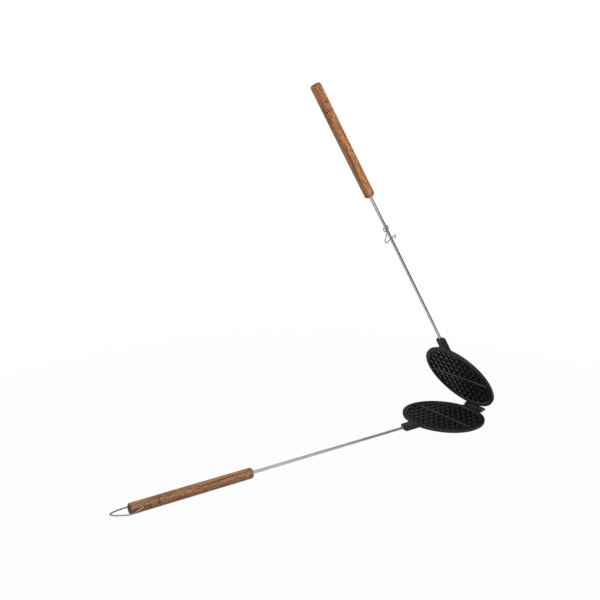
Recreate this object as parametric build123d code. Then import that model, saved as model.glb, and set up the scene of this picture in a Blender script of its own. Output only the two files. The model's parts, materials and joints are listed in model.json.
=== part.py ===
from build123d import *
import math
import os

# Campfire waffle iron: two cast iron dish plates hinged at one edge, each with a long steel
# rod and a wooden handle. Millimetres and degrees. Each half is drawn in its own half frame:
# the plate's centre is the origin, the parting plane is z = 0 with the cooking face up, the
# hinge axis is parallel to Y on the +X side and the handle points towards -X. The upper half
# is the lower one's mirror image, turned open about the hinge.

# Plates
plate_radius = 90.0
rim_width = 7.0
rim_wall = 5.8
plate_depth = 13.5
flat_back_radius = 62.0
parting_gap = 0.3
cavity_depth = 6.0
cavity_wall_run = 4.5
outline_fillet = 6.0

# Studs and the divider on the cooking face
stud_pitch = 15.8
stud_base = 9.6
stud_draft = 17.0
stud_below_rim = 1.7
stud_centre_inset = 0.8
divider_to_stud = 10.5
divider_base = 5.4
divider_top = 1.8
divider_below_rim = 1.0

# Socket for the rod
rod_drop = 7.5
rod_splay = 2.0
socket_beyond_rim = 28.0
socket_width = 20.0
socket_height = 12.0
socket_corner = 2.5
socket_root = 62.0
socket_bore_depth = 29.0
tab_beyond_rim = 9.0
tab_width = 21.0
tab_corner = 2.5

# Rod and the pin that holds it in the socket
rod_radius = 3.0
rod_exposed = 377.0
rod_in_handle = 70.0
rod_fit = 0.05
rod_pin_radius = 1.6
rod_pin_from_end = 21.0
rod_pin_sink = 0.5
pin_fit = 0.04

# Handle
handle_radius = 10.1
handle_length = 235.0
handle_nose = 3.5
handle_end_break = 1.4
handle_bore_spare = 3.0
handle_ring_from_end = 50.0
handle_ring_width = 1.6
handle_ring_depth = 0.6

# Hinge
hinge_beyond_rim = 10.0
hinge_pin_radius = 2.75
hinge_pin_head = 4.2
hinge_pin_head_height = 1.6
hinge_pin_play = 0.1
hinge_running_fit = 0.08
barrel_radius = 6.0
barrel_width = 31.0
ear_radius = 6.5
ear_width = 8.0
ear_side_gap = 0.5
lug_fillet = 3.0
finger_reach = 14.0
finger_thickness = 5.5
finger_lift = -1.8

# Bent wires, swept with a many-sided section
wire_sides = 6

# Hanging loop in the end of the lower handle
loop_wire = 2.4
loop_leg_gap = 8.6
loop_reach = 33.0
loop_tip_radius = 2.4
loop_straight = 13.0
loop_in_handle = 12.0
loop_fit = 0.04

# Wire latch on the upper rod
latch_wire = 2.0
latch_from_handle = 77.0
latch_lean = 40.0
latch_eye_radius = 6.2
latch_eye_clearance = 0.3
latch_eye_start = -58.0
latch_reach = 28.5
latch_hook_radius = 4.0
latch_arm_angle = 45.0
latch_arm_length = 19.5
latch_curl_radius = 2.2
latch_curl_turn = 155.0
latch_curl_tail = 4.0

# How far the iron stands open at rest
opening = 52.4

rim_top = -parting_gap / 2
socket_reach = plate_radius + socket_beyond_rim
tab_reach = plate_radius + tab_beyond_rim
hinge_offset = plate_radius + hinge_beyond_rim
cavity_radius = plate_radius - rim_width
floor_radius = cavity_radius - cavity_wall_run
hinge_lug_half = barrel_width / 2 + ear_side_gap + ear_width


def plan_box(x0, x1, y0, y1, corner=0.0):
    """Rectangle between two corners in the parting plane, with its outer corners rounded."""
    shape = Rectangle(x1 - x0, y1 - y0)
    if corner:
        shape = RectangleRounded(x1 - x0, y1 - y0, corner)
    return Pos((x0 + x1) / 2, (y0 + y1) / 2) * shape


def inside_corners(shape, reach):
    """Vertices where a lug or tab meets the round rim."""
    on_rim = shape.vertices().filter_by(
        lambda v: abs(math.hypot(v.X, v.Y) - plate_radius) < 0.01 and abs(v.Y) < reach
    )
    return on_rim


def rim_slab(lugs):
    """The rim's outline with the handle tab and hinge lugs, as a slab."""
    tab = plan_box(-tab_reach, -cavity_radius, -tab_width / 2, tab_width / 2, tab_corner)
    outline = Circle(plate_radius) + tab
    outline = fillet(inside_corners(outline, tab_width), outline_fillet)
    shape = outline
    for lug in lugs:
        shape = shape + lug
    on_hinge_side = inside_corners(shape, hinge_lug_half + 1).filter_by(lambda v: v.X > 0)
    shape = fillet(on_hinge_side, lug_fillet)
    return extrude(Pos(0, 0, -rim_wall) * shape, rim_wall + rim_top)


def dish_back():
    """The coned back, from the rim's lower edge in to the flat that the plate rests on."""
    depth = plate_depth - rim_wall
    cone = Cone(flat_back_radius, plate_radius, depth)
    return Pos(0, 0, -rim_wall - depth / 2) * cone


def cavity():
    """What the cooking face is sunk by: a shallow dish with sloping walls."""
    over = 1.0
    slope = cavity_wall_run / (cavity_depth + rim_top)
    with BuildPart() as hollow:
        with BuildSketch(Plane.XZ):
            with BuildLine():
                Polyline(
                    (0, over),
                    (cavity_radius + over * slope, over),
                    (floor_radius, -cavity_depth),
                    (0, -cavity_depth),
                    close=True,
                )
            make_face()
        revolve(axis=Axis.Z)
    return hollow.part


def stud():
    """One stud: a tapered square block, rooted just under the cavity floor."""
    root = 0.5
    height = cavity_depth - stud_below_rim + rim_top + root
    return extrude(Rectangle(stud_base, stud_base), height, taper=stud_draft)


def stud_places():
    """Stud centres on the square pattern: those over the floor, whose outermost studs run
    into the dish's wall. No stud stands on the centre line from hinge to handle."""
    places = []
    reach = floor_radius - stud_centre_inset
    steps = int(plate_radius / stud_pitch) + 1
    for row in range(steps):
        x = divider_to_stud + row * stud_pitch
        for column in range(steps):
            y = (column + 0.5) * stud_pitch
            if math.hypot(x, y) < reach:
                places += [(x, y), (-x, y), (x, -y), (-x, -y)]
    return places


def divider():
    """The straight ridge across the middle of the dish, parallel to the hinge."""
    low = -cavity_depth - 0.5
    high = rim_top - divider_below_rim
    half = cavity_radius
    with BuildPart() as ridge:
        with BuildSketch(Plane.XZ):
            with BuildLine():
                Polyline(
                    (-divider_base / 2, low),
                    (divider_base / 2, low),
                    (divider_top / 2, high),
                    (-divider_top / 2, high),
                    close=True,
                )
            make_face()
        extrude(amount=half, both=True)
    return ridge.part & dish_envelope()


def dish_envelope():
    """The cavity's own space with a little of the wall behind it, to trim the divider to."""
    reach = 1.0
    slope = cavity_wall_run / (cavity_depth + rim_top)
    with BuildPart() as space:
        with BuildSketch(Plane.XZ):
            with BuildLine():
                Polyline(
                    (0, rim_top),
                    (cavity_radius + reach, rim_top),
                    (floor_radius + reach - slope, -cavity_depth - 1),
                    (0, -cavity_depth - 1),
                    close=True,
                )
            make_face()
        revolve(axis=Axis.Z)
    return space.part


# The rod's own frame: its origin is where the rod leaves the socket, with the rod towards -X.
rod_frame = Pos(-socket_reach, 0, -rod_drop) * Rot(0, -rod_splay, 0)


def along_rod(x):
    """A plane across the rod's frame at x, facing +X."""
    return Plane(origin=(x, 0, 0), x_dir=(0, 1, 0), z_dir=(1, 0, 0))


def socket_block():
    """The cast block that takes the rod, run back into the dish's underside."""
    length = socket_reach - socket_root
    face = along_rod(0) * RectangleRounded(socket_width, socket_height, socket_corner)
    return rod_frame * extrude(face, length)


def rod_bore():
    """The socket's blind bore, and the hole for the pin across it."""
    bore = extrude(along_rod(-1) * Circle(rod_radius + rod_fit), socket_bore_depth + 1)
    pin_hole = Pos(rod_pin_from_end, 0, 0) * Cylinder(rod_pin_radius + pin_fit, 4 * rod_drop)
    return rod_frame * (bore + pin_hole)


def casting(lugs, hinge_metal, hinge_bores):
    """One half's casting: rim, back, socket and hinge metal, with the dish cut into it."""
    body = rim_slab(lugs) + dish_back() + socket_block() + hinge_metal
    body = body - cavity() - rod_bore() - hinge_bores
    pins = [Pos(x, y, -cavity_depth - 0.5) * stud() for x, y in stud_places()]
    return body.fuse(divider(), *pins)


def across_hinge(y0, y1):
    """A plane across the hinge axis at y0, and the width from there to y1."""
    return Plane(origin=(hinge_offset, y0, 0), x_dir=(1, 0, 0), z_dir=(0, 1, 0)), y1 - y0


def hinge_side(radius, back, finger=False):
    """Side outline of a hinge lug about the axis: a round eye, its web, and a stop finger."""
    eye = Circle(radius)
    web_height = rim_wall + rim_top
    # The sketch's y axis points to -Z here, so the web under the parting plane is at +y.
    web = Pos(-back / 2, (rim_wall - rim_top) / 2) * Rectangle(back, web_height)
    shape = eye + web
    if finger:
        bar = SlotOverall(finger_reach, finger_thickness)
        shape = shape + Pos(finger_reach / 2, -finger_lift) * bar
    return shape


def lower_hinge():
    """Two ears on the lower rim, each with a finger past the axis that stops the opening."""
    inner = barrel_width / 2 + ear_side_gap
    web_back = hinge_offset - cavity_radius - 1
    metal = None
    for side in (-1, 1):
        y0 = inner if side > 0 else -inner - ear_width
        plane, width = across_hinge(y0, y0 + ear_width)
        ear = extrude(plane * hinge_side(ear_radius, web_back, finger=True), width)
        metal = ear if metal is None else metal + ear
    return metal


def upper_hinge():
    """The barrel between the ears, on a web from the upper rim."""
    web_back = hinge_offset - cavity_radius - 1
    plane, width = across_hinge(-barrel_width / 2, barrel_width / 2)
    return extrude(plane * hinge_side(barrel_radius, web_back), width)


def hinge_bore(radius):
    """A bore along the hinge axis, longer than the hinge is wide."""
    return Pos(hinge_offset, 0, 0) * Rot(90, 0, 0) * Cylinder(radius, 4 * hinge_lug_half)


def lug_plan(y0, y1):
    """A hinge lug's outline in the parting plane, out to just short of its eye."""
    return plan_box(cavity_radius, hinge_offset - ear_radius / 2, y0, y1)


def lower_plate():
    inner = barrel_width / 2 + ear_side_gap
    outer = inner + ear_width
    lugs = [lug_plan(inner, outer), lug_plan(-outer, -inner)]
    return casting(lugs, lower_hinge(), hinge_bore(hinge_pin_radius + pin_fit))


def upper_plate():
    lugs = [lug_plan(-barrel_width / 2, barrel_width / 2)]
    return casting(lugs, upper_hinge(), hinge_bore(hinge_pin_radius + hinge_running_fit))


def hinge_pin():
    """A rivet through the hinge: a straight shank with a low round head at each end."""
    half = hinge_lug_half + hinge_pin_play
    head = Pos(0, 0, half + hinge_pin_head_height / 2) * Cylinder(hinge_pin_head, hinge_pin_head_height)
    rivet = Cylinder(hinge_pin_radius, 2 * half) + head + mirror(head, about=Plane.XY)
    return Pos(hinge_offset, 0, 0) * Rot(90, 0, 0) * rivet


def rod():
    """The straight steel rod, from the bottom of the socket's bore into the handle."""
    inner_end = socket_bore_depth - 1.0
    length = inner_end + rod_exposed + rod_in_handle
    bar = extrude(along_rod(inner_end - length) * Circle(rod_radius), length)
    hole = Pos(rod_pin_from_end, 0, 0) * Cylinder(rod_pin_radius + pin_fit, 4 * rod_radius)
    return rod_frame * (bar - hole)


def rod_pin():
    """The pin that holds the rod in its socket, sunk a little below the casting."""
    length = socket_height - 2 * rod_pin_sink
    return rod_frame * Pos(rod_pin_from_end, 0, 0) * Cylinder(rod_pin_radius, length)


def handle(loop_holes):
    """A turned wooden handle: bevelled at both ends, one fine ring near the end, a rod bore."""
    near = -rod_exposed
    far = near - handle_length
    ring = far + handle_ring_from_end
    r = handle_radius
    with BuildPart() as turned:
        with BuildSketch(Plane.XY):
            with BuildLine():
                Polyline(
                    (near, 0),
                    (near, r - handle_nose),
                    (near - handle_nose, r),
                    (ring + handle_ring_width / 2, r),
                    (ring, r - handle_ring_depth),
                    (ring - handle_ring_width / 2, r),
                    (far + handle_end_break, r),
                    (far, r - handle_end_break),
                    (far, 0),
                    (near, 0),
                )
            make_face()
        revolve(axis=Axis.X)
    wood = turned.part
    depth = rod_in_handle + handle_bore_spare
    wood = wood - extrude(along_rod(near - depth) * Circle(rod_radius + rod_fit), depth + 1)
    if loop_holes:
        for side in (-1, 1):
            centre = Pos(0, 0, side * loop_leg_gap / 2)
            hole = extrude(along_rod(far - 1) * Circle(loop_wire / 2 + loop_fit), loop_in_handle + 1.5)
            wood = wood - centre * hole
    return rod_frame * wood


def bent_wire(route, across, wire):
    """Wire swept along a flat route, its section turned so that two of its flats face across."""
    along = route % 0
    start = Plane(origin=route @ 0, x_dir=along.cross(across), z_dir=along)
    return sweep(start * RegularPolygon(wire / 2, wire_sides), path=route)


def hanging_loop():
    """A bent wire loop: two legs in the handle's end, drawn together to a small round tip."""
    face = -rod_exposed - handle_length
    start = face + loop_in_handle
    half = loop_leg_gap / 2
    shoulder = face - loop_straight
    tip_centre = face - loop_reach + loop_wire / 2 + loop_tip_radius
    run = shoulder - tip_centre
    # Each side is a straight leg and one long arc, tangent to it, down to the tip's arc.
    lean = 2 * math.degrees(math.atan2(half - loop_tip_radius, run))
    tip_angle = math.radians(lean)
    touch_x = tip_centre - loop_tip_radius * math.sin(tip_angle)
    touch_z = loop_tip_radius * math.cos(tip_angle)
    upper_leg = Line((start, half), (shoulder, half))
    upper_arc = TangentArc((shoulder, half), (touch_x, touch_z), tangent=(-1, 0))
    leave = upper_arc % 1
    tip = TangentArc((touch_x, touch_z), (touch_x, -touch_z), tangent=leave)
    lower_arc = TangentArc((shoulder, -half), (touch_x, -touch_z), tangent=(-1, 0))
    lower_leg = Line((start, -half), (shoulder, -half))
    route = Wire([upper_leg, upper_arc, tip, lower_arc, lower_leg])
    route = Plane.XZ * route
    return rod_frame * bent_wire(route, Vector(0, 1, 0), loop_wire), route


def latch_route():
    """The latch's wire in its own plane: an eye round the rod, a shank, a hook and an arm.

    The plane's x is across the rod and its y points up from the hook to the eye.
    """
    lean = math.radians(latch_lean)
    top = (rod_radius + latch_wire / 2 + latch_eye_clearance) / math.cos(lean)
    centre = (0, top - latch_eye_radius)
    turn = latch_eye_start + 360
    eye = CenterArc(centre, latch_eye_radius, turn, -turn)
    shank_end = (latch_eye_radius, -latch_reach + latch_hook_radius + latch_wire / 2)
    shank = Line(eye @ 1, shank_end)
    hook = JernArc(shank_end, (0, -1), latch_hook_radius, 90 + latch_arm_angle)
    arm = Line(hook @ 1, hook @ 1 + (hook % 1) * latch_arm_length)
    curl = JernArc(arm @ 1, arm % 1, latch_curl_radius, -latch_curl_turn)
    tail = Line(curl @ 1, curl @ 1 + (curl % 1) * latch_curl_tail)
    return Wire([eye, shank, hook, arm, curl, tail])


def least_gap(route, wire):
    """Least gap of a bent wire to itself, over points at least two wires apart along it."""
    count = int(route.length / 0.25)
    points = [route @ (i / count) for i in range(count + 1)]
    step = route.length / count
    skip = int(math.ceil(math.pi * wire / step))
    least = route.length
    for i in range(0, count + 1, 2):
        for j in range(i + skip, count + 1):
            least = min(least, (points[j] - points[i]).length)
    return least - wire


def latch():
    """The wire latch, swept along its route, in the plane that it hangs in."""
    route = latch_frame * (Plane.YZ * mirror(latch_route(), about=Plane.YZ))
    return bent_wire(route, latch_frame.x_axis.direction, latch_wire)


def opened(piece):
    """A half-frame piece as the upper half's: mirrored in the parting plane and turned open."""
    return open_turn * mirror(piece, about=Plane.XY)


open_turn = Pos(hinge_offset, 0, 0) * Rot(0, opening, 0) * Pos(-hinge_offset, 0, 0)
upper_rod_frame = open_turn * Pos(-socket_reach, 0, rod_drop) * Rot(0, rod_splay, 0)
latch_centre = Pos(-rod_exposed + latch_from_handle, 0, 0)
latch_frame = upper_rod_frame * latch_centre * Rot(0, -latch_lean, 0)

# The iron lies on the hinge side of the lower plate's flat back and on the handle's end.
splay = math.radians(rod_splay)
handle_far = rod_exposed + handle_length - handle_end_break
handle_foot_x = -socket_reach - handle_far * math.cos(splay) + handle_radius * math.sin(splay)
handle_foot_z = -rod_drop - handle_far * math.sin(splay) - handle_radius * math.cos(splay)
rest_pitch = math.degrees(
    math.atan2(-plate_depth - handle_foot_z, flat_back_radius - handle_foot_x)
)


def build():
    """Every node in the row frame, by name, and the frame that takes half frame to row."""
    loop, loop_route = hanging_loop()
    pieces = {
        "lower_plate": lower_plate(),
        "upper_plate": opened(upper_plate()),
        "hinge_pin": hinge_pin(),
        "lower_rod": rod(),
        "upper_rod": opened(rod()),
        "lower_rod_pin": rod_pin(),
        "upper_rod_pin": opened(rod_pin()),
        "lower_handle": handle(loop_holes=True),
        "upper_handle": opened(handle(loop_holes=False)),
        "hanging_loop": loop,
        "latch": latch(),
    }
    print("loop least gap to itself:", round(least_gap(loop_route, loop_wire), 3))
    print("latch least gap to itself:", round(least_gap(latch_route(), latch_wire), 3))
    pitched = {name: Rot(0, rest_pitch, 0) * piece for name, piece in pieces.items()}
    boxes = [piece.bounding_box() for piece in pitched.values()]
    low_x, high_x = min(b.min.X for b in boxes), max(b.max.X for b in boxes)
    settle = Pos(-(low_x + high_x) / 2, 0, -min(b.min.Z for b in boxes))
    placed = {name: settle * piece for name, piece in pitched.items()}
    return placed, settle * Rot(0, rest_pitch, 0)


if __name__ == "__main__":
    os.makedirs("parts", exist_ok=True)
    nodes, row_frame = build()
    for name, piece in nodes.items():
        export_step(piece, f"parts/{name}.step")
    print("rest pitch:", round(rest_pitch, 4))
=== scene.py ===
"""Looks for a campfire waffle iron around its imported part.

Shapes are worked out in millimetres in a half's own frame or a rod's own frame, and placed in
the part's frame in metres. In a half's frame the plate's centre is the origin, the parting
plane is z = 0 with the cooking face up, and the handle is towards -x. The upper half is the
lower one's mirror image, turned open about the hinge. In a rod's frame the rod leaves its
socket at x = 0 and runs towards -x.
"""
import json
import math

import bmesh
import bpy
import numpy as np
from mathutils import Matrix, Vector


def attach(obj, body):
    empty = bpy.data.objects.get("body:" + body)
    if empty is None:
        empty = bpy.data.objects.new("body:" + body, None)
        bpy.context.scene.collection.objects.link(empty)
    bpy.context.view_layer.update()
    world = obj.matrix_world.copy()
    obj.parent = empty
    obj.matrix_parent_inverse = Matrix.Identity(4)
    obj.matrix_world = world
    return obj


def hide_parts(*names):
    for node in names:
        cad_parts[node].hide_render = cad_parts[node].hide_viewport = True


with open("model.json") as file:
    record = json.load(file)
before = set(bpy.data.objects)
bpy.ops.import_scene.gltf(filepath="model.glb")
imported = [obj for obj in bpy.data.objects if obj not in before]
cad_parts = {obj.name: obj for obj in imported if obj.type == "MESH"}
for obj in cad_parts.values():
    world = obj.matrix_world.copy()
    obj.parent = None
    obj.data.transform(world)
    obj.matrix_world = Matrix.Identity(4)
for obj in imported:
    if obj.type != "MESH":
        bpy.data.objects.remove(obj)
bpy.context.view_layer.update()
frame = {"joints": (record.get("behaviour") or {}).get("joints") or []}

MM = 0.001
HINGE = np.array(next(j for j in frame["joints"] if j["name"] == "hinge")["pos_m"])
REST_PITCH = math.radians(1.8421)
OPENING = math.radians(52.4)
HALVES = ("lower", "upper")
MERGE_METRES = 1e-7
SHARP_ANGLE = math.radians(40)

# Plate, in millimetres like all sizes down to the latch's
PLATE_RADIUS = 90.0
RIM_WIDTH = 7.0
RIM_WALL = 5.8
RIM_TOP = -0.15
PLATE_DEPTH = 13.5
FLAT_BACK_RADIUS = 62.0
BACK_SHOULDER_INSET = 4.2
BACK_SHOULDER_DROP = 3.4
CAVITY_DEPTH = 6.0
CAVITY_WALL_RUN = 4.5
CAVITY_RADIUS = PLATE_RADIUS - RIM_WIDTH
FLOOR_RADIUS = CAVITY_RADIUS - CAVITY_WALL_RUN
# The rounds of the plate's section, from the edge of the flat back to the edge of the floor
PLATE_ROUNDS = (140.0, 4.0, 0.9, 0.8, 0.7, 1.6)
FOLLOWED_WIDTH = 1.6

TAB_REACH = 99.0
TAB_HALF = 10.5
TAB_CORNER = 2.5
TAB_FILLET = 6.0

# Studs and divider
STUD_PITCH = 15.8
STUD_BASE = 9.6
STUD_DRAFT = math.radians(17.0)
STUD_ROOT = 0.5
STUD_BELOW_RIM = 1.7
STUD_CENTRE_INSET = 0.8
STUD_CROWN = 0.25
STUD_FOOT = 0.6
STUD_FOOT_RISE = 0.12
STUD_SKIRT = 1.6
STUD_SKIRT_DEPTH = 0.35
STUD_POLE_DEPTH = 0.4
STUD_ROUNDS = (0.3, 0.5, 1.5)
STUD_SQUARENESS = 4.5
STUD_SIDES = 20
DIVIDER_TO_STUD = 10.5
DIVIDER_BASE = 5.4
DIVIDER_TOP = 1.5
DIVIDER_ROUND = 0.7
DIVIDER_BELOW_RIM = 0.5
DIVIDER_SUNK = 0.5
DIVIDER_END_INSET = 0.9
DIVIDER_ROWS = 40

# Socket, rod and cross pin
SOCKET_REACH = 118.0
SOCKET_HALF_WIDTH = 10.0
SOCKET_HALF_HEIGHT = 6.0
SOCKET_CORNER = 2.5
SOCKET_EDGE = 0.9
SOCKET_UNDER_RIM = 1.5
SOCKET_ROOT = 62.0
KEEL_START = 4.0
KEEL_TOP = -0.8
KEEL_CORNER = 2.25
ROD_DROP = 7.5
ROD_SPLAY = math.radians(2.0)
ROD_RADIUS = 3.0
ROD_EXPOSED = 377.0
ROD_IN_SOCKET = 28.0
ROD_IN_HANDLE = 70.0
ROD_EDGE = 0.5
ROD_ROWS = 40
ROD_PIN_RADIUS = 1.6
ROD_PIN_FROM_END = 21.0
ROD_PIN_TOP = SOCKET_HALF_HEIGHT + 0.72
ROD_PIN_BOTTOM = -SOCKET_HALF_HEIGHT - 0.1
ROD_PIN_DOME = 0.12
ROD_PIN_ROUND = 0.25

# Handle
HANDLE_RADIUS = 10.1
HANDLE_LENGTH = 235.0
HANDLE_NOSE = 3.5
HANDLE_NOSE_FACE = HANDLE_RADIUS - 3.1
HANDLE_NOSE_STEP = 1.0
HANDLE_NOSE_STEP_RADIUS = HANDLE_RADIUS - 1.3
HANDLE_BORE_SHOWN = 4.0
HANDLE_BORE_RADIUS = ROD_RADIUS + 0.05
HANDLE_RING_FROM_END = 50.0
HANDLE_RING_HALF = 1.0
HANDLE_RING_DEPTH = 0.8
HANDLE_END_EDGE = 1.0
# The rounds of the handle's section, from the bore at its nose to its far end
HANDLE_ROUNDS = (0.1, 0.4, 1.3, 1.6, 3.0, 0.35, 0.25, 0.35, 0.8, 0.8)

# Hinge
HINGE_OFFSET = 100.0
HINGE_EDGE = 0.8
HINGE_WEB_INTO_RIM = 1.0
HINGE_POLE = (0.0, -1.0)
RIVET_SHANK_RADIUS = 2.75
RIVET_HEAD_RADIUS = 4.2
RIVET_HEAD_HEIGHT = 1.6
RIVET_HEAD_EDGE = 0.35
RIVET_HEAD_GAP = 0.1
RIVET_ROUNDS = (0.8, 0.15, 0.05, 0.05, 0.15, 0.8)
BARREL_HALF = 15.5
BARREL_RADIUS = 6.0
EAR_GAP = 0.5
EAR_WIDTH = 8.0
EAR_RADIUS = 6.5
KNOB_REACH = 14.0
KNOB_RADIUS = 3.2
KNOB_NECK = 2.1
KNOB_NECK_START = 2.0
KNOB_NECK_END = 5.5
KNOB_HALF_WIDTH = 4.0
KNOB_DROP = 1.8

# Hanging loop
LOOP_RADIUS = 1.2
LOOP_HOLE_FROM_END = 22.0
LOOP_HOLE_HEIGHT = 3.0
LOOP_STEP = 0.4
LOOP_SOFTENING = 5
# The loop's wire from inside the hole's near mouth round the tip to inside its far mouth, as
# (distance past the handle's end, y, z) of the rod's frame.
LOOP_ROUTE = [
    (-22.0, -8.0, 3.0), (-21.6, -10.9, 2.9), (-18.0, -11.2, 1.9), (-10.0, -11.3, -1.2),
    (0.0, -10.5, -4.3), (6.0, -9.2, -4.6), (14.0, -7.4, -3.4), (24.0, -4.6, -2.0),
    (31.6, -1.6, -0.2), (33.4, 0.8, 0.5), (31.6, 3.0, 0.4), (24.0, 6.6, -0.3),
    (12.0, 9.8, -1.1), (0.0, 11.3, -1.9), (-10.0, 11.4, 0.4), (-18.0, 11.2, 1.9),
    (-21.6, 10.9, 2.9), (-22.0, 8.0, 3.0),
]

# Latch, with turns in degrees
LATCH_RADIUS = 1.0
LATCH_FROM_HANDLE = 77.0
LATCH_LEAN = math.radians(40.0)
LATCH_EYE = 6.2
LATCH_EYE_CLEARANCE = 0.3
LATCH_EYE_START = -58.0
LATCH_REACH = 28.5
LATCH_HOOK = 4.0
LATCH_HOOK_TURN = 135.0
LATCH_ARM = 22.5
LATCH_CURL = 2.2
LATCH_CURL_TURN = -155.0
LATCH_TAIL = 4.0

# Colours
# Painted light in the dish's colours: the gaps' colour is partly painted shade, the tops' colour
# partly a painted highlight
OIL_AND_PAINTED_SHADE_IN_GAPS = (0.0009, 0.0010, 0.0012)
WORN_OIL_AND_PAINTED_HIGHLIGHT = (0.0125, 0.0125, 0.0127)
# The unseasoned outside's colours are paler partly as painted light on the outer wall
RAW_IRON_DARK = (0.0082, 0.0077, 0.0075)
RAW_IRON_PALE = (0.0190, 0.0174, 0.0168)
WOOD_DARK = (0.105, 0.036, 0.012)
WOOD_PALE = (0.63, 0.265, 0.095)
WOOD_PORE = (0.055, 0.021, 0.010)
# This dark colour is also the painted shade at the cross hole's mouths
WOOD_BURNT_AND_HOLE_SHADE = (0.026, 0.016, 0.012)
# Lit and shaded copies of one wood: the lower handle darker as painted shade, the upper brighter as
# painted light
LOWER_WOOD_PAINTED_SHADE = 0.61
UPPER_WOOD_PAINTED_LIGHT = 1.06
# Painted shade at the cross hole's mouths, standing in for the open hole
HOLE_MOUTH_PAINTED_SHADE = 0.85
FLOOR_DARK = (0.21, 0.21, 0.21)
FLOOR_PALE = (0.23, 0.23, 0.23)
CARD_BLACK = (0.02, 0.02, 0.022, 1)
WHITE = (1, 1, 1, 1)

# Studio and camera, in metres
FLOOR_REACH = 20.0
NEAR_FLOOR = 0.45
FAR_FLOOR = 1.1
WHITE_SHARE = 0.97
AMBIENT = 0.47
LAMP_AIM = (0.1, 0.0, 0.2)
CAMERA_PLACE = Vector((-0.76394, -1.01926, 0.59778))
CAMERA_AHEAD = Vector((0.55175, 0.80549, -0.21624))
CAMERA_ROLL = math.radians(0.3748)
FOCAL_PIXELS = 692.14
FRAME_PIXELS = 600
SENSOR_MM = 36.0


def turn_y(points, angle):
    """Points turned by the right-hand rule about +y: x' = x cos + z sin, z' = z cos - x sin."""
    c, s = math.cos(angle), math.sin(angle)
    x, y, z = points[..., 0], points[..., 1], points[..., 2]
    return np.stack([x * c + z * s, y, z * c - x * s], axis=-1)


def place_half(points, upper):
    """Half-frame millimetres to the part's metres: mirrored in z if upper, and turned open."""
    p = (np.array(points, dtype=float) - [HINGE_OFFSET, 0, 0]) * MM
    if upper:
        p[..., 2] *= -1
    return turn_y(p, REST_PITCH + (OPENING if upper else 0)) + HINGE


def rod_to_half(points):
    """Rod-frame points in the half's frame."""
    return turn_y(np.array(points, dtype=float), -ROD_SPLAY) + [-SOCKET_REACH, 0, -ROD_DROP]


def place_rod(points, upper):
    """Rod-frame millimetres to the part's metres."""
    return place_half(rod_to_half(points), upper)


# Outlines and profiles


def arc(centre, radius, start, end, step=0.5):
    """Points on an arc: centre + radius (cos a, sin a), with a even from start to end degrees."""
    count = max(3, int(abs(math.radians(end - start)) * radius / step) + 1)
    a = np.radians(np.linspace(start, end, count))
    return np.stack([centre[0] + radius * np.cos(a), centre[1] + radius * np.sin(a)], axis=-1)


def rounded(corners, radii, turns=7, guard=0.3):
    """A run of straight lines with each inner corner rounded by an arc of its own radius. Each
    arc has a guard point a little before and after it, so that smooth shading stays on it."""
    corners = np.array(corners, dtype=float)
    run = [corners[:1]]
    for before, corner, after, radius in zip(corners[:-2], corners[1:-1], corners[2:], radii):
        back = (before - corner) / np.linalg.norm(before - corner)
        ahead = (after - corner) / np.linalg.norm(after - corner)
        half_angle = math.acos(np.clip(back @ ahead, -1, 1)) / 2
        reach = radius / math.tan(half_angle)
        middle = back + ahead
        centre = corner + middle / np.linalg.norm(middle) * radius / math.sin(half_angle)
        first = corner + back * reach - centre
        last = corner + ahead * reach - centre
        sweep = math.pi - 2 * half_angle
        t = np.linspace(0, 1, turns)[:, None]
        bend = (np.sin((1 - t) * sweep) * first + np.sin(t * sweep) * last) / math.sin(sweep)
        guards = [corner + side * (reach + guard) for side in (back, ahead)]
        run += [guards[:1], centre + bend, guards[1:]]
    run.append(corners[-1:])
    return np.vstack(run)


def resampled(outline, step, closed=True):
    """A line, closed or open, with even steps along its length."""
    line = np.vstack([outline, outline[:1]]) if closed else np.array(outline, dtype=float)
    along = np.concatenate([[0], np.cumsum(np.linalg.norm(np.diff(line, axis=0), axis=1))])
    s = np.linspace(0, along[-1], int(along[-1] / step), endpoint=not closed)
    return np.stack([np.interp(s, along, part) for part in line.T], axis=-1)


def softened(outline, reach):
    """A closed outline averaged along its length with Gaussian weights, reach samples wide."""
    offsets = range(-3 * reach, 3 * reach + 1)
    weights = np.array([math.exp(-0.5 * (k / reach) ** 2) for k in offsets])
    weights /= weights.sum()
    return sum(w * np.roll(outline, k, axis=0) for w, k in zip(weights, offsets))


def outward(outline):
    """Unit normals of a closed counter-clockwise outline: its tangent turned right."""
    along = np.roll(outline, -1, axis=0) - np.roll(outline, 1, axis=0)
    along /= np.linalg.norm(along, axis=1, keepdims=True)
    return np.stack([along[:, 1], -along[:, 0]], axis=-1)


def turned_on(profile, sides):
    """A lathe form: each profile point (a, r) becomes the ring (a, r cos t, r sin t)."""
    t = np.linspace(0, 2 * math.pi, sides, endpoint=False)
    a, r = profile[:, :1], profile[:, 1:]
    return np.stack([a + 0 * t, r * np.cos(t), r * np.sin(t)], axis=-1)


def rounded_prism(outline, middle, low, high, edge, turns=5, guard=0.3):
    """A closed prism: the outline moved in by i and out to height h, for pairs (i, h) that go
    from a pole at the middle of the low face, round both edges by quarter circles, to a pole at
    the middle of the high face."""
    a = np.linspace(0, math.pi / 2, turns)
    inset = np.concatenate([[edge + guard], edge * (1 - np.sin(a)), [0]])
    rise = np.concatenate([[0], edge * (1 - np.cos(a)), [edge + guard]])
    insets = np.concatenate([inset, inset[::-1]])
    heights = np.concatenate([low + rise, high - rise[::-1]])
    flat = outline[None] - outward(outline)[None] * insets[:, None, None]
    level = np.broadcast_to(heights[:, None, None], (*flat.shape[:2], 1))
    rows = np.concatenate([flat, level], axis=-1)
    poles = [np.broadcast_to([*middle, h], (1, len(outline), 3)) for h in (low, high)]
    return np.concatenate([poles[0], rows, poles[1]])


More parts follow.
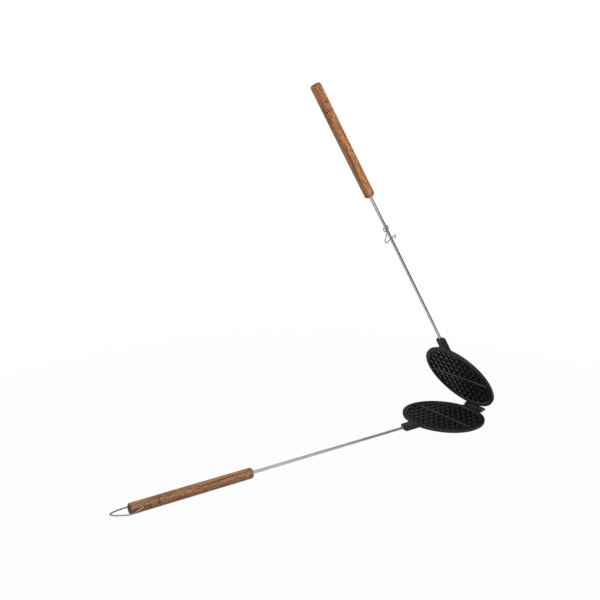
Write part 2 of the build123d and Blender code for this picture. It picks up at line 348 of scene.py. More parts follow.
def bent_path(start, heading, moves, step=0.25):
    """A flat path from a start and a heading in degrees. A move (length, 0) is a straight run,
    and (radius, angle) is an arc that turns left by the angle, or right if it is negative."""
    place = np.array(start, dtype=float)
    run = []
    for size, turn in moves:
        ahead = np.array([math.cos(math.radians(heading)), math.sin(math.radians(heading))])
        if turn == 0:
            count = max(2, int(size / 4) + 2)
            points = place + ahead * np.linspace(0, size, count)[:, None]
        else:
            side = math.copysign(1.0, turn)
            centre = place + side * size * np.array([-ahead[1], ahead[0]])
            first = heading - side * 90
            points = arc(centre, size, first, first + turn, step)
        run.append(points[1:] if run else points)
        place = points[-1]
        heading += turn
    return np.vstack(run)


def wire_along(path, radius, across, sides=20, turns=4, end_reach=0.35):
    """Round wire on a path in space: rings of path + radius (cos t n + sin t b), where n is
    across x tangent and b is tangent x n. Each end is rounded by turns rings, the last of them
    a pole end_reach radii past the path."""
    ahead = np.gradient(path, axis=0)
    ahead /= np.linalg.norm(ahead, axis=1, keepdims=True)
    normal = np.cross(across, ahead)
    normal /= np.linalg.norm(normal, axis=1, keepdims=True)
    side = np.cross(ahead, normal)
    a = np.linspace(0, math.pi / 2, turns)
    shrink = np.sin(a) * radius
    reach = np.cos(a) * radius * end_reach
    first = path[0] - reach[:, None] * ahead[0]
    last = path[-1] + reach[::-1, None] * ahead[-1]
    spine = np.vstack([first, path[1:-1], last])[:, None]
    sizes = np.concatenate([shrink, np.full(len(path) - 2, radius), shrink[::-1]])[:, None, None]
    repeats = [turns, *[1] * (len(path) - 2), turns]
    n = np.repeat(normal, repeats, axis=0)[:, None]
    b = np.repeat(side, repeats, axis=0)[:, None]
    t = np.linspace(0, 2 * math.pi, sides, endpoint=False)[None, :, None]
    return spine + sizes * (np.cos(t) * n + np.sin(t) * b)


# Pieces


def add_piece(name, shells, place, upper, material, replaced, body):
    """One piece from closed shells. A shell is rows of points, each row a closed ring, with its
    first and last rows closed to poles. Faces are turned so that the shell's signed volume is
    positive, and poles are merged. Each point keeps its local place for the material."""
    vertices, faces, start = [], [], 0
    for shell in shells:
        rows, columns = shell.shape[:2]
        index = np.arange(rows * columns).reshape(rows, columns)
        right = np.roll(index, -1, axis=1)
        quads = np.stack([index[:-1], right[:-1], right[1:], index[1:]], axis=-1).reshape(-1, 4)
        flat = shell.reshape(-1, 3)
        placed = place(flat, upper)
        a, b, c, d = (placed[quads[:, i]] - placed[0] for i in range(4))
        volume = np.sum(np.einsum("ij,ij->i", a, np.cross(b, c) + np.cross(c, d)))
        vertices.append(flat)
        faces.append((quads if volume > 0 else quads[:, ::-1]) + start)
        start += len(flat)
    local = np.vstack(vertices)
    mesh = bpy.data.meshes.new(name)
    mesh.from_pydata(place(local, upper).tolist(), [], np.vstack(faces).tolist())
    pattern = mesh.attributes.new("local_place", "FLOAT_VECTOR", "POINT")
    pattern.data.foreach_set("vector", (local * MM).astype(np.float32).ravel())
    work = bmesh.new()
    work.from_mesh(mesh)
    bmesh.ops.remove_doubles(work, verts=work.verts, dist=MERGE_METRES)
    work.to_mesh(mesh)
    work.free()
    mesh.polygons.foreach_set("use_smooth", np.ones(len(mesh.polygons), dtype=bool))
    mesh.set_sharp_from_angle(angle=SHARP_ANGLE)
    piece = bpy.data.objects.new(name, mesh)
    bpy.context.collection.objects.link(piece)
    mesh.materials.append(material)
    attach(piece, body)
    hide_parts(replaced)


def rim_outline():
    """The rim's outline from above: the round rim, and the handle's tab with rounded corners
    and a fillet on each side where it leaves the rim."""
    fillet_x = -math.sqrt((PLATE_RADIUS + TAB_FILLET) ** 2 - (TAB_HALF + TAB_FILLET) ** 2)
    meets = math.degrees(math.atan2(TAB_HALF + TAB_FILLET, fillet_x))
    corner_x, corner_y = -TAB_REACH + TAB_CORNER, TAB_HALF - TAB_CORNER
    rim = arc((0, 0), PLATE_RADIUS, -meets, meets, 1.0)
    above = arc((fillet_x, TAB_HALF + TAB_FILLET), TAB_FILLET, meets - 180, -90)
    corner_up = arc((corner_x, corner_y), TAB_CORNER, 90, 180)
    half = np.vstack([above, corner_up])
    below = half[::-1] * [1, -1]
    return resampled(np.vstack([rim, half, below]), 0.7)


def dish():
    """The plate's body. A profile (r, z) runs from the middle of the back over the shoulder, rim
    and dish wall to the middle of the floor. Rows near the rim follow its outline, moved in by
    R - r along its normals, and all other rows are circles at the outline's own bearings."""
    shoulder = (PLATE_RADIUS - BACK_SHOULDER_INSET, -RIM_WALL - BACK_SHOULDER_DROP)
    corners = [
        (0, -PLATE_DEPTH), (FLAT_BACK_RADIUS, -PLATE_DEPTH), shoulder,
        (PLATE_RADIUS, -RIM_WALL), (PLATE_RADIUS, RIM_TOP), (CAVITY_RADIUS, RIM_TOP),
        (FLOOR_RADIUS, -CAVITY_DEPTH), (0, -CAVITY_DEPTH),
    ]
    profile = rounded(corners, PLATE_ROUNDS)
    outline = rim_outline()
    bearing = np.arctan2(outline[:, 1], outline[:, 0])
    circle = np.stack([np.cos(bearing), np.sin(bearing)], axis=-1)
    r = profile[:, 0][:, None, None]
    z = profile[:, 1][:, None, None]
    followed = outline[None] - (PLATE_RADIUS - r) * outward(outline)[None]
    flat = np.where(r > PLATE_RADIUS - FOLLOWED_WIDTH, followed, r * circle[None])
    level = np.broadcast_to(z, (*flat.shape[:2], 1))
    return np.concatenate([flat, level], axis=-1)


def stud_places():
    """Stud centres on the square pattern: those over the floor."""
    reach = FLOOR_RADIUS - STUD_CENTRE_INSET
    steps = range(int(PLATE_RADIUS / STUD_PITCH) + 1)
    across = [DIVIDER_TO_STUD + i * STUD_PITCH for i in steps]
    along = [(j + 0.5) * STUD_PITCH for j in steps]
    kept = [(x, y) for x in across for y in along if math.hypot(x, y) < reach]
    return [(sx * x, sy * y) for x, y in kept for sx in (1, -1) for sy in (1, -1)]


def stud():
    """One stud: a rounded square of half width w at height z, with its sides in draft, a small
    fillet at its foot, and a round over its top edge. The square is the superellipse
    |x/w|^p + |y/w|^p = 1, which keeps the sides nearly flat and the corners round."""
    height = CAVITY_DEPTH - STUD_BELOW_RIM + RIM_TOP
    floor_half = STUD_BASE / 2 - STUD_ROOT * math.tan(STUD_DRAFT)
    top_half = floor_half - height * math.tan(STUD_DRAFT)
    corners = [
        (floor_half + STUD_SKIRT, -STUD_SKIRT_DEPTH), (floor_half + STUD_FOOT, 0.0),
        (floor_half - 0.02, STUD_FOOT_RISE), (top_half, height), (0.0, height + STUD_CROWN),
    ]
    profile = rounded(corners, STUD_ROUNDS, turns=4, guard=0.1)
    profile = np.vstack([[0.0, -STUD_POLE_DEPTH], profile])
    side = np.linspace(0, 2 * math.pi, STUD_SIDES, endpoint=False) + math.pi / STUD_SIDES
    power = STUD_SQUARENESS
    across = (np.abs(np.cos(side)) ** power + np.abs(np.sin(side)) ** power) ** (-1 / power)
    w, z = profile[:, :1], profile[:, 1:]
    x, y = w * across * np.cos(side), w * across * np.sin(side)
    return np.stack([x, y, z - CAVITY_DEPTH + 0 * x], axis=-1)


def divider():
    """The ridge across the dish: its section, with a rounded top, carried along y into the
    wall at both ends."""
    top = RIM_TOP - DIVIDER_BELOW_RIM
    low = -CAVITY_DEPTH - DIVIDER_SUNK
    foot_half, top_half = DIVIDER_BASE / 2, DIVIDER_TOP / 2
    corners = [(-foot_half, low), (-top_half, top), (top_half, top), (foot_half, low)]
    section = rounded(corners, [DIVIDER_ROUND, DIVIDER_ROUND], turns=5, guard=0.15)
    ends = CAVITY_RADIUS - DIVIDER_END_INSET
    x, z = section[None, :, 0], section[None, :, 1]
    y = np.linspace(-ends, ends, DIVIDER_ROWS)[:, None]
    ring = np.stack([x + 0 * y, y + 0 * x, z + 0 * y], axis=-1)
    caps = [np.broadcast_to([0, s, low], (1, len(section), 3)) for s in (-ends, ends)]
    return np.concatenate([caps[0], ring, caps[1]])


def rounded_rectangle(half_x, half_y, corner):
    """A rectangle's outline about the origin, with round corners, counter-clockwise."""
    x, y = half_x - corner, half_y - corner
    places = [(x, y, 0), (-x, y, 90), (-x, -y, 180), (x, -y, 270)]
    return resampled(np.vstack([arc((cx, cy), corner, a, a + 90) for cx, cy, a in places]), 0.6)


def socket():
    """The cast block that takes the rod, and the keel that runs on from it under the dish."""
    rim_end = SOCKET_REACH - CAVITY_RADIUS - SOCKET_UNDER_RIM
    outline = rounded_rectangle(SOCKET_HALF_WIDTH, SOCKET_HALF_HEIGHT, SOCKET_CORNER)
    block = rounded_prism(outline, (0, 0), 0.0, rim_end, SOCKET_EDGE)
    keel_half = (SOCKET_HALF_HEIGHT + KEEL_TOP) / 2
    keel_middle = (0, keel_half - SOCKET_HALF_HEIGHT)
    outline = rounded_rectangle(SOCKET_HALF_WIDTH, keel_half, KEEL_CORNER) + keel_middle
    keel_end = SOCKET_REACH - SOCKET_ROOT
    keel = rounded_prism(outline, keel_middle, KEEL_START, keel_end, SOCKET_EDGE)
    # A prism's points are (y, z, x) of the rod's frame.
    return [rod_to_half(np.roll(shell, 1, axis=-1)) for shell in (block, keel)]


def hinge_outline(radius):
    """A hinge lug from the side: a round eye on the axis and its web back to the rim, with soft
    corners. Points are (x, z), counter-clockwise."""
    web_back = CAVITY_RADIUS + HINGE_WEB_INTO_RIM - HINGE_OFFSET
    low_meets = 180 + math.degrees(math.asin(RIM_WALL / radius))
    top_meets = 180 - math.degrees(math.asin(RIM_TOP / radius))
    web = [(web_back, RIM_TOP), (web_back, -RIM_WALL)]
    eye = arc((0, 0), radius, low_meets - 360, top_meets)
    return softened(resampled(np.vstack([web, eye]), 0.3), 2)


def stop_knob(y):
    """The knob past an ear that stops the opening: a lathe form along x, with a narrow neck
    and a ball, stretched across to the ear's width."""
    centre = KNOB_REACH - KNOB_RADIUS
    leaves = 180 - math.degrees(math.asin(KNOB_NECK / KNOB_RADIUS))
    ball = arc((centre, 0), KNOB_RADIUS, leaves, 0, 0.35)
    neck = [(KNOB_NECK_START, 0.0), (KNOB_NECK_START, KNOB_NECK), (KNOB_NECK_END, KNOB_NECK)]
    ring = turned_on(np.vstack([neck, ball]), 24) * [1, KNOB_HALF_WIDTH / KNOB_RADIUS, 1]
    return ring + [HINGE_OFFSET, y, -KNOB_DROP]


def hinge_metal(upper):
    """The lower rim's two ears with their knobs, or the barrel between them on the upper rim."""
    inner = BARREL_HALF + EAR_GAP
    outer = inner + EAR_WIDTH
    if upper:
        spans = [(BARREL_RADIUS, -BARREL_HALF, BARREL_HALF)]
        shells = []
    else:
        spans = [(EAR_RADIUS, inner, outer), (EAR_RADIUS, -outer, -inner)]
        shells = [stop_knob(side * (inner + outer) / 2) for side in (1, -1)]
    for radius, low, high in spans:
        prism = rounded_prism(hinge_outline(radius), HINGE_POLE, low, high, HINGE_EDGE)
        u, v, w = prism[..., 0], prism[..., 1], prism[..., 2]
        shells.append(np.stack([u + HINGE_OFFSET, w, v], axis=-1))
    return shells


def casting(half, material):
    """A half's whole casting as one piece."""
    upper = half == "upper"
    one = stud()
    studs = [one + [x, y, 0] for x, y in stud_places()]
    shells = [dish(), divider(), *studs, *socket(), *hinge_metal(upper)]
    add_piece(
        f"{half}_casting", shells, place_half, upper, material,
        replaced=f"{half}_plate", body=f"{half}_half",
    )


def rod(half, material):
    """The rod: a lathe form with its ends lightly broken."""
    near, far = ROD_IN_SOCKET, -ROD_EXPOSED - ROD_IN_HANDLE
    corners = [(near, 0), (near, ROD_RADIUS), (far, ROD_RADIUS), (far, 0)]
    profile = rounded(corners, [ROD_EDGE, ROD_EDGE], turns=4)
    long_run = np.linspace(near - 2, far + 2, ROD_ROWS)
    middle = np.stack([long_run, np.full(ROD_ROWS, ROD_RADIUS)], axis=-1)
    cut = int(np.argmax(profile[:, 0] < 0))
    profile = np.vstack([profile[:cut], middle, profile[cut:]])
    add_piece(
        f"{half}_bar", [turned_on(profile, 48)], place_rod, half == "upper", material,
        replaced=f"{half}_rod", body=f"{half}_half",
    )


def rod_pin(half, material):
    """The pin across the socket, with softly domed ends that lie level with the casting."""
    corners = [
        (ROD_PIN_BOTTOM, 0), (ROD_PIN_BOTTOM + ROD_PIN_DOME, ROD_PIN_RADIUS),
        (ROD_PIN_TOP - ROD_PIN_DOME, ROD_PIN_RADIUS), (ROD_PIN_TOP, 0),
    ]
    profile = rounded(corners, [ROD_PIN_ROUND, ROD_PIN_ROUND], turns=4, guard=0.05)
    ring = turned_on(profile, 32)
    shell = np.stack([ring[..., 1] + ROD_PIN_FROM_END, ring[..., 2], ring[..., 0]], axis=-1)
    add_piece(
        f"{half}_cross_pin", [shell], place_rod, half == "upper", material,
        replaced=f"{half}_rod_pin", body=f"{half}_half",
    )


def rivet(material):
    """The hinge pin: a shank with a low domed head at each end, along y at the hinge axis."""
    head = BARREL_HALF + EAR_GAP + EAR_WIDTH + RIVET_HEAD_GAP
    crown = head + RIVET_HEAD_HEIGHT
    edge = crown - RIVET_HEAD_EDGE
    right = [
        (head, RIVET_SHANK_RADIUS), (head, RIVET_HEAD_RADIUS), (edge, RIVET_HEAD_RADIUS),
        (crown, 0),
    ]
    left = [(-y, r) for y, r in reversed(right)]
    profile = rounded(left + right, RIVET_ROUNDS, turns=6, guard=0.05)
    ring = turned_on(profile, 40)
    shell = np.stack([ring[..., 1] + HINGE_OFFSET, ring[..., 0], ring[..., 2]], axis=-1)
    add_piece(
        "hinge_rivet", [shell], place_half, False, material,
        replaced="hinge_pin", body="lower_half",
    )


def handle(half, material):
    """The turned handle: a round nose with the rod's bore, a fine ring groove, and a broken
    edge at its far end."""
    near = -ROD_EXPOSED
    far = near - HANDLE_LENGTH
    ring = far + HANDLE_RING_FROM_END
    r = HANDLE_RADIUS
    corners = [
        (near - HANDLE_BORE_SHOWN, 0), (near - HANDLE_BORE_SHOWN, HANDLE_BORE_RADIUS),
        (near, HANDLE_BORE_RADIUS), (near, HANDLE_NOSE_FACE),
        (near - HANDLE_NOSE_STEP, HANDLE_NOSE_STEP_RADIUS), (near - HANDLE_NOSE, r),
        (ring + HANDLE_RING_HALF, r), (ring, r - HANDLE_RING_DEPTH), (ring - HANDLE_RING_HALF, r),
        (far + HANDLE_END_EDGE, r), (far, r - HANDLE_END_EDGE), (far, 0),
    ]
    profile = rounded(corners, HANDLE_ROUNDS, turns=6, guard=0.12)
    add_piece(
        f"{half}_grip", [turned_on(profile, 96)], place_rod, half == "upper", material,
        replaced=f"{half}_handle", body=f"{half}_half",
    )


def hanging_loop(material):
    """The wire loop at the lower handle's end: from a cross hole, along both sides of the
    handle, and round a narrow tip past its end."""
    face = -ROD_EXPOSED - HANDLE_LENGTH
    route = np.array(LOOP_ROUTE) * [-1, 1, 1] + [face, 0, 0]
    even = resampled(route, LOOP_STEP, closed=False)
    path = softened(even, LOOP_SOFTENING)
    # The softening wraps round from end to end, so both ends go back to the route itself.
    ends = 3 * LOOP_SOFTENING
    path[:ends] = even[:ends]
    path[-ends:] = even[-ends:]
    add_piece(
        "hanging_wire", [wire_along(path, LOOP_RADIUS, (0, 0, 1))], place_rod, False, material,
        replaced="hanging_loop", body="lower_half",
    )


def latch(material):
    """The latch's wire: an open eye round the rod, a shank, a hook, an arm and a curled end."""
    top = (ROD_RADIUS + LATCH_RADIUS + LATCH_EYE_CLEARANCE) / math.cos(LATCH_LEAN)
    start_angle = LATCH_EYE_START + 360
    a = math.radians(start_angle)
    start = (LATCH_EYE * math.cos(a), top - LATCH_EYE + LATCH_EYE * math.sin(a))
    shank = LATCH_REACH - LATCH_HOOK - LATCH_RADIUS + top - LATCH_EYE
    moves = [
        (LATCH_EYE, -start_angle), (shank, 0), (LATCH_HOOK, LATCH_HOOK_TURN), (LATCH_ARM, 0),
        (LATCH_CURL, LATCH_CURL_TURN), (LATCH_TAIL, 0),
    ]
    path = bent_path(start, start_angle - 90, moves)
    u, v = path[:, 0], path[:, 1]
    upright = wire_along(np.stack([0 * u, -u, v], axis=-1), LATCH_RADIUS, (1, 0, 0))
    at_rod = turn_y(upright, -LATCH_LEAN) + [-ROD_EXPOSED + LATCH_FROM_HANDLE, 0, 0]
    add_piece(
        "latch_wire", [at_rod * [1, 1, -1]], place_rod, True, material,
        replaced="latch", body="latch",
    )


# Materials


class Signal:
    """One output socket of a material's nodes. Arithmetic on signals adds Math nodes."""

    def __init__(self, tree, socket):
        self.tree = tree
        self.socket = socket

    def node(self, kind, settings=None, inputs=None, output=0):
        """Adds a node of any kind: its settings first, then values or signals by socket."""
        made = self.tree.nodes.new(kind)
        for key, value in (settings or {}).items():
            setattr(made, key, value)
        for key, value in (inputs or {}).items():
            if isinstance(value, Signal):
                self.tree.links.new(value.socket, made.inputs[key])
            else:
                made.inputs[key].default_value = value
        return Signal(self.tree, made.outputs[output])

    def maths(self, operation, *others):
        """A Math node on this signal and others."""
        inputs = dict(enumerate((self, *others)))
        return self.node("ShaderNodeMath", {"operation": operation}, inputs)

    def __add__(self, other):
        return self.maths("ADD", other)

    __radd__ = __add__

    def __mul__(self, other):
        return self.maths("MULTIPLY", other)

    __rmul__ = __mul__

    def __sub__(self, other):
        return self.maths("SUBTRACT", other)

    def __rsub__(self, other):
        return self.node("ShaderNodeMath", {"operation": "SUBTRACT"}, {0: other, 1: self})

    def ramp(self, low, high, start=0.0, end=1.0):
        """This signal carried from low..high to start..end, held at both ends."""
        values = {"Value": self, "From Min": low, "From Max": high, "To Min": start, "To Max": end}
        return self.node("ShaderNodeMapRange", {"clamp": True}, values)

    def noise(self, scale, detail=2.0, roughness=0.5, distortion=0.0):
        """Value noise on this vector signal."""
        values = {"Vector": self, "Scale": scale, "Detail": detail}
        values.update({"Roughness": roughness, "Distortion": distortion})
        return self.node("ShaderNodeTexNoise", {"noise_dimensions": "3D"}, values)

    def stretched(self, scale):
        """This vector signal scaled along each axis."""
        return self.node("ShaderNodeVectorMath", {"operation": "MULTIPLY"}, {0: self, 1: scale})

    def length(self):
        """The length of this vector signal."""
        return self.node("ShaderNodeVectorMath", {"operation": "LENGTH"}, {0: self}, "Value")

    def distance(self, point):
        """How far this vector signal is from a fixed point."""
        inputs = {0: self, 1: point}
        return self.node("ShaderNodeVectorMath", {"operation": "DISTANCE"}, inputs, "Value")

    def axis(self, which):
        """One of this vector signal's three parts."""
        return self.node("ShaderNodeSeparateXYZ", None, {0: self}, which)

    def blend(self, colour_a, colour_b):
        """Colour a where this signal is 0, colour b where it is 1."""
        made = self.tree.nodes.new("ShaderNodeMix")
        made.data_type = "RGBA"
        self.tree.links.new(self.socket, made.inputs[0])
        for place, colour in ((6, colour_a), (7, colour_b)):
            if isinstance(colour, Signal):
                self.tree.links.new(colour.socket, made.inputs[place])
            else:
                made.inputs[place].default_value = (*colour, 1)
        return Signal(self.tree, made.outputs[2])


def new_material(name):
    """A material with its Principled node, and each point's local place as a signal."""
    material = bpy.data.materials.new(name)
    material.use_nodes = True
    tree = material.node_tree
    attribute = tree.nodes.new("ShaderNodeAttribute")
    attribute.attribute_name = "local_place"
    return material, tree, tree.nodes["Principled BSDF"], Signal(tree, attribute.outputs["Vector"])


def connect(tree, shader, **links):
    """Links signals to the shader's sockets, or sets their plain values."""
    for name, value in links.items():
        socket = shader.inputs[name.replace("_", " ")]
        if isinstance(value, Signal):
            tree.links.new(value.socket, socket)
        else:
            socket.default_value = value


def bump(height, distance, strength):
    """A normal from a height signal, where height 1 stands distance metres proud."""
    inputs = {"Height": height, "Distance": distance, "Strength": strength}
    return height.node("ShaderNodeBump", None, inputs)


def cast_iron_material():
    """Cast iron. Outside it is unseasoned and a little brown, with sand-cast grain, and paler there
    partly as painted light on the outer wall. Inside the dish it is black with baked-on oil: dull
    and darkest in the gaps between the studs, partly as painted shade; paler and smoother on top,
    partly from wear and partly as a painted highlight; and dull again on the rim, where it is kept
    darker as painted shade."""
    material, tree, shader, place = new_material("seasoned_cast_iron")
    grain = place.noise(900.0, detail=3.0, roughness=0.6)
    lumps = place.noise(160.0)
    patches = place.noise(22.0, detail=3.0, roughness=0.55)
    tone = (0.6 * patches + 0.4 * lumps).ramp(0.35, 0.65)
    radius = place.stretched((1.0, 1.0, 0.0)).length()
    height = place.axis(2)
    below = height.ramp(-(CAVITY_DEPTH + 0.2) * MM, -(CAVITY_DEPTH + 0.7) * MM)
    beyond = radius.ramp((PLATE_RADIUS - 0.9) * MM, (PLATE_RADIUS - 0.2) * MM)
    # The outside is unseasoned iron, and its paler colour is partly painted light on the outer wall
    outside_unseasoned_and_painted_light = below.maths("MAXIMUM", beyond)
    # Stud tops are paler, partly from wear and partly as a painted highlight; the gaps below are
    # darker, partly as painted shade
    wear_and_painted_highlight = height.ramp(-(STUD_BELOW_RIM + 1.1) * MM, -(STUD_BELOW_RIM + 0.1) * MM)
    # The rim's top is kept darker than the stud tops as painted shade
    rim = radius.ramp((CAVITY_RADIUS - 0.8) * MM, CAVITY_RADIUS * MM)
    wear_and_painted_light = wear_and_painted_highlight * (0.5 + 0.5 * tone) * (1 - 0.7 * rim)
    oil_and_painted_light = wear_and_painted_light.blend(OIL_AND_PAINTED_SHADE_IN_GAPS, WORN_OIL_AND_PAINTED_HIGHLIGHT)
    raw_iron_and_painted_light = tone.blend(RAW_IRON_DARK, RAW_IRON_PALE)
    polish = (0.7 * patches + 0.3 * grain).ramp(0.3, 0.7, start=0.26, end=0.38)
    dull = (1 - wear_and_painted_highlight + rim).maths("MINIMUM", 1.0)
    connect(
        tree, shader,
        Base_Color=outside_unseasoned_and_painted_light.blend(oil_and_painted_light, raw_iron_and_painted_light),
        Roughness=polish + dull * 0.30,
        Specular_IOR_Level=0.22,
        Normal=bump(0.5 * grain + 0.5 * lumps, 0.00022, 0.8),
    )
    return material


def steel_material(name, dark, pale, smooth, rough, metallic=1.0):
    """Drawn steel: fine lengthwise lines, and a faint haze that dulls it here and there."""
    material, tree, shader, place = new_material(name)
    lines = place.stretched((6.0, 1200.0, 1200.0)).noise(1.0, roughness=0.6)
    haze = place.noise(30.0)
    connect(
        tree, shader,
        Base_Color=haze.ramp(0.3, 0.7).blend(dark, pale),
        Metallic=metallic,
        Roughness=(0.1 * lines + 0.9 * haze).ramp(0.3, 0.7, start=smooth, end=rough),
        Normal=bump(lines, 0.00001, 0.05),
    )
    return material


def wood_material(name, shade, hole):
    """Stained wood, its grain along the handle: dark pores and flamed streaks on reddish brown,
    with a line burned into the ring groove and dark end grain inside a paler edge. Shade scales
    the colours as painted light and shade: darker on the lower handle, brighter on the upper one.
    Hole is how strongly the cross hole's mouths for the hanging loop are darkened, a painted
    shade that stands in for the open hole."""
    material, tree, shader, place = new_material(name)
    streaks = place.stretched((12.0, 130.0, 130.0)).noise(
        1.0, detail=4.0, roughness=0.6, distortion=0.6,
    )
    flames = place.stretched((170.0, 330.0, 330.0)).noise(
        1.0, detail=4.0, roughness=0.68, distortion=1.4,
    )
    pores = place.stretched((70.0, 1500.0, 1500.0)).noise(1.0, roughness=0.7)
    tone = (0.45 * streaks + 0.55 * flames).ramp(0.42, 0.58)
    # The scaled colours are painted light and shade: a darker copy for the lower handle, a brighter
    # one for the upper
    colour = tone.blend([shade * part for part in WOOD_DARK], [shade * part for part in WOOD_PALE])
    fleck = pores.ramp(0.54, 0.68) * 0.75
    stained = fleck.blend(colour, WOOD_PORE)
    along = place.axis(0)
    radius = place.stretched((0.0, 1.0, 1.0)).length()
    far = -(ROD_EXPOSED + HANDLE_LENGTH) * MM
    from_ring = (along - (far + HANDLE_RING_FROM_END * MM)).maths("ABSOLUTE")
    ring = from_ring.ramp(0.7 * MM, 1.1 * MM, start=0.85, end=0.0)
    end_face = along.ramp(far + 0.3 * MM, far + 0.9 * MM, start=1.0, end=0.0)
    core_edge = HANDLE_RADIUS - 2.2
    core = radius.ramp(core_edge * MM, (core_edge + 1.0) * MM, start=0.85, end=0.0)
    mouth = (far + LOOP_HOLE_FROM_END * MM, 0, LOOP_HOLE_HEIGHT * MM)
    from_mouth = place.stretched((1.0, 0.0, 1.0)).distance(mouth)
    # Painted shade round the cross hole's mouths, where the wire enters and no hole is modelled
    hole_painted_shade = from_mouth.ramp(1.9 * MM, 3.2 * MM, start=hole, end=0.0)
    burns_and_hole_shade = ring.maths("MAXIMUM", end_face * core).maths("MAXIMUM", hole_painted_shade)
    connect(
        tree, shader,
        Base_Color=burns_and_hole_shade.blend(stained, WOOD_BURNT_AND_HOLE_SHADE),
        Roughness=tone.ramp(0.0, 1.0, start=0.36, end=0.46) + end_face * 0.35,
        Specular_IOR_Level=0.42,
        Normal=bump(pores, 0.00010, 0.6),
    )
    return material


iron = cast_iron_material()
rod_steel = steel_material("drawn_steel", (0.36, 0.36, 0.37), (0.46, 0.46, 0.46), 0.05, 0.12)
wire_steel = steel_material("grey_wire", (0.12, 0.12, 0.13), (0.19, 0.19, 0.19), 0.34, 0.44)
dark_steel = steel_material(
    "blackened_steel", (0.007, 0.007, 0.008), (0.016, 0.016, 0.016), 0.36, 0.50, metallic=0.0,
)
# Lit and shaded copies of one wood: the lower handle's darker as painted shade, the upper's brighter
# as painted light
woods = {
    "lower": wood_material("lower_wood_painted_shade", LOWER_WOOD_PAINTED_SHADE, HOLE_MOUTH_PAINTED_SHADE),
    "upper": wood_material("upper_wood_painted_light", UPPER_WOOD_PAINTED_LIGHT, 0.0),
}

for half_name in HALVES:
    casting(half_name, iron)
    rod(half_name, rod_steel)
    rod_pin(half_name, dark_steel)
    handle(half_name, woods[half_name])
rivet(dark_steel)
hanging_loop(wire_steel)
latch(wire_steel)


# Studio


def sheet(name, corners, material):
    """A flat four-cornered sheet for the studio."""
    mesh = bpy.data.meshes.new(name)
    mesh.from_pydata(corners, [], [(0, 1, 2, 3)])
    thing = bpy.data.objects.new(name, mesh)
    bpy.context.collection.objects.link(thing)
    mesh.materials.append(material)
    return thing


def floor_material():
    """A pale floor. The camera and reflections see it as white paper, wholly so far from the
    object, and close by a share of its shaded face shows through for the object's shadow."""
    material = bpy.data.materials.new("pale_floor")
    material.use_nodes = True
    tree = material.node_tree
    shader = tree.nodes["Principled BSDF"]
    coordinates = Signal(tree, tree.nodes.new("ShaderNodeTexCoord").outputs["Object"])
    speckle = coordinates.noise(300.0)
    connect(tree, shader, Base_Color=speckle.blend(FLOOR_DARK, FLOOR_PALE), Roughness=0.8)
    path = tree.nodes.new("ShaderNodeLightPath")
    seen = Signal(tree, path.outputs["Is Camera Ray"]) + Signal(tree, path.outputs["Is Glossy Ray"])
    share = coordinates.length().ramp(NEAR_FLOOR, FAR_FLOOR, start=WHITE_SHARE, end=1.0)
    glow = seen.node("ShaderNodeEmission", None, {"Color": WHITE, "Strength": 1.0})
    both = {0: seen.maths("MINIMUM", 1.0) * share, 1: Signal(tree, shader.outputs[0]), 2: glow}
    mixed = seen.node("ShaderNodeMixShader", None, both)
    tree.links.new(mixed.socket, tree.nodes["Material Output"].inputs["Surface"])
    return material


def light_world():
    """A white surround, seen whole by the camera and reflections and dimmer as a light."""
    world = bpy.data.worlds.new("studio")
    bpy.context.scene.world = world
    world.use_nodes = True
    tree = world.node_tree
    path = tree.nodes.new("ShaderNodeLightPath")
    direct = Signal(tree, path.outputs["Is Camera Ray"]) + Signal(tree, path.outputs["Is Glossy Ray"])
    direct = direct + Signal(tree, path.outputs["Is Transmission Ray"])
    strength = direct.maths("MINIMUM", 1.0).ramp(0.0, 1.0, start=AMBIENT, end=1.0)
    tree.links.new(strength.socket, tree.nodes["Background"].inputs["Strength"])
    tree.nodes["Background"].inputs["Color"].default_value = WHITE


def upright(start, end, low, high):
    """The corners of an upright sheet over the line from start to end, between two heights."""
    return [(*start, low), (*end, low), (*end, high), (*start, high)]


def card(name, corners, glow=0.0):
    """A black or glowing studio card that only shows in the reflections on the object."""
    material = bpy.data.materials.new(name)
    material.use_nodes = True
    shader = material.node_tree.nodes["Principled BSDF"]
    shader.inputs["Base Color"].default_value = CARD_BLACK
    shader.inputs["Roughness"].default_value = 0.9
    shader.inputs["Emission Color"].default_value = WHITE
    shader.inputs["Emission Strength"].default_value = glow
    thing = sheet(name, corners, material)
    thing.visible_camera = False
    thing.visible_diffuse = False
    thing.visible_shadow = False
    thing.visible_transmission = False


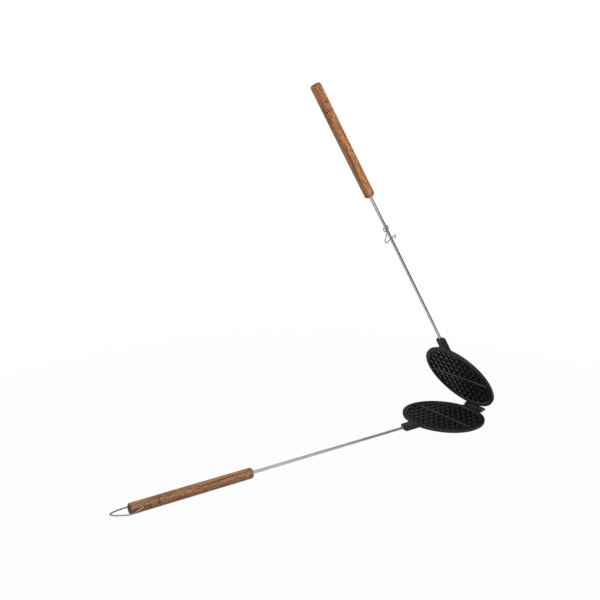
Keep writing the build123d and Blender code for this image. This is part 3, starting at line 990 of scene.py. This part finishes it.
def soft_box(name, place, size, power):
    """A square area lamp that faces the middle of the object."""
    lamp = bpy.data.lights.new(name, "AREA")
    lamp.shape = "SQUARE"
    lamp.size = size
    lamp.energy = power
    holder = bpy.data.objects.new(name, lamp)
    holder.location = place
    direction = Vector(LAMP_AIM) - Vector(place)
    holder.rotation_mode = "QUATERNION"
    holder.rotation_quaternion = direction.to_track_quat("-Z", "Y")
    bpy.context.collection.objects.link(holder)


def set_camera():
    """The camera, solved from the photo's plates, rods and handles."""
    lens = bpy.data.cameras.new("camera")
    lens.sensor_width = SENSOR_MM
    lens.lens = FOCAL_PIXELS / FRAME_PIXELS * SENSOR_MM
    camera = bpy.data.objects.new("camera", lens)
    bpy.context.collection.objects.link(camera)
    camera.location = CAMERA_PLACE
    level = CAMERA_AHEAD.to_track_quat("-Z", "Y").to_matrix().to_4x4()
    camera.rotation_mode = "QUATERNION"
    camera.rotation_quaternion = (level @ Matrix.Rotation(CAMERA_ROLL, 4, "Z")).to_quaternion()
    bpy.context.scene.camera = camera


floor_corners = [(-1, -1), (1, -1), (1, 1), (-1, 1)]
floor_corners = [(x * FLOOR_REACH, y * FLOOR_REACH, 0) for x, y in floor_corners]
sheet("floor", floor_corners, floor_material())
light_world()
card("front_card", upright((0.5, -0.55), (2.6, -0.55), 0.0, 1.1))
# This card leans with the upper rod and draws the dark line along it.
upper_corners = [(0.16, -0.3, 0.344), (0.42, -0.3, 0.064), (0.747, -0.3, 0.17), (0.487, -0.3, 0.45)]
card("upper_card", upper_corners)
card("right_card", upright((2.6, -0.55), (2.6, 0.1), 0.0, 1.1))
card("strip_card", upright((-0.4, -0.6), (0.48, -0.6), 0.13, 0.30), glow=1.9)
card("back_card", upright((2.5, 0.9), (0.35, 2.4), 0.0, 0.88))
soft_box("key_light", (-0.25, -1.5, 1.5), 1.0, 29.0)
soft_box("back_light", (-1.6, 1.5, 1.7), 1.2, 18.0)
soft_box("low_light", (-1.5, 1.9, 0.9), 1.2, 6.0)
set_camera()
bpy.context.scene.view_settings.view_transform = "Standard"
